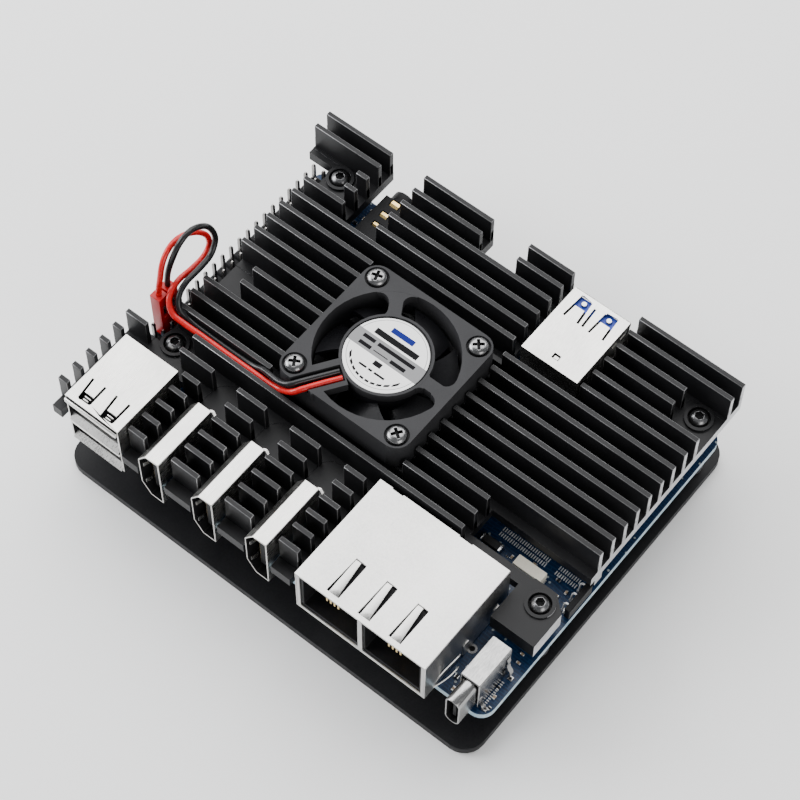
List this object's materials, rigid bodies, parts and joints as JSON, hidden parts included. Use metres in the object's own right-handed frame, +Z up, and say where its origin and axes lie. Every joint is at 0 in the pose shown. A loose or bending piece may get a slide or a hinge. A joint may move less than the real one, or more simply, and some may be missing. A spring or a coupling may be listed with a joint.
{
  "type": "single board computer",
  "caption": "Flat computer board under a black finned heatsink with a small wired fan, stacked on a black metal bottom plate, with steel-shelled sockets along two edges.",
  "frame": {"origin": "centre of the bounding box in plan, at the underside of the bottom plate", "axes": "+X along the long edge towards the power socket, +Y from the edge with the network ports towards the back edge, +Z up, away from the bottom plate"},
  "size_m": [0.101, 0.0832, 0.0402],
  "materials": {
    "black_metal": "black anodised, fine satin",
    "black_plastic": "moulded, matt",
    "black_wire": "insulated wire, glossy",
    "blue_plastic": "moulded, satin",
    "board_blue": "blue lacquered circuit board",
    "brass": "turned",
    "chip": "moulded, matt",
    "copper": "copper coloured windings",
    "cream_plastic": "moulded, satin",
    "fan_plastic": "moulded, satin dark grey",
    "grey_metal": "grey anodised",
    "label_paper": "printed paper, matt",
    "pad": "soft pad",
    "red_plastic": "moulded, glossy",
    "red_wire": "insulated wire, glossy",
    "screw_steel": "plated steel",
    "steel": "bright stamped steel"
  },
  "bodies": {
    "computer": {"audio_socket": "black_plastic", "back_ports_insert": "blue_plastic", "back_ports_shell": "steel", "board_connector": "cream_plastic", "bottom_plate": "black_metal", "card_slot": "steel", "data_socket_shell": "steel", "data_socket_tongue": "black_plastic", "fan_bearing": "brass", "fan_frame": "fan_plastic", "fan_label": "label_paper", "fan_plug": "red_plastic", "fan_screw_back_left": "screw_steel", "fan_screw_back_right": "screw_steel", "fan_screw_front_left": "screw_steel", "fan_screw_front_right": "screw_steel", "fan_stator": "copper", "front_ports_insert": "black_plastic", "front_ports_shell": "steel", "heatsink": "black_metal", "main_board": "board_blue", "main_processor": "chip", "memory_chip_1": "chip", "memory_chip_2": "chip", "network_housing": "black_plastic", "network_shield": "steel", "pin_header": "black_plastic", "power_chip": "chip", "power_socket_cover": "steel", "power_socket_shell": "steel", "power_socket_tongue": "black_plastic", "screw_lower_back_left": "screw_steel", "screw_lower_back_right": "screw_steel", "screw_lower_front_left": "screw_steel", "screw_lower_front_right": "screw_steel", "screw_upper_back_left": "screw_steel", "screw_upper_back_right": "screw_steel", "screw_upper_front_left": "screw_steel", "screw_upper_front_right": "screw_steel", "side_header": "black_plastic", "standoff_back_left": "grey_metal", "standoff_back_right": "grey_metal", "standoff_front_left": "grey_metal", "standoff_front_right": "grey_metal", "storage_socket": "black_plastic", "thermal_pad": "pad", "video_shell_1": "steel", "video_shell_2": "steel", "video_shell_3": "steel", "video_tongue_1": "black_plastic", "video_tongue_2": "black_plastic", "video_tongue_3": "black_plastic", "wire_black": "black_wire", "wire_red": "red_wire"},
    "fan_rotor": {"fan_rotor": "fan_plastic"}
  },
  "joints": [
    {"name": "fan_spin", "type": "hinge", "parent": "computer", "child": "fan_rotor", "pos_m": [-0.00445, 0.0026, 0.0258], "axis": [0, 0, 1], "continuous": true}
  ]
}
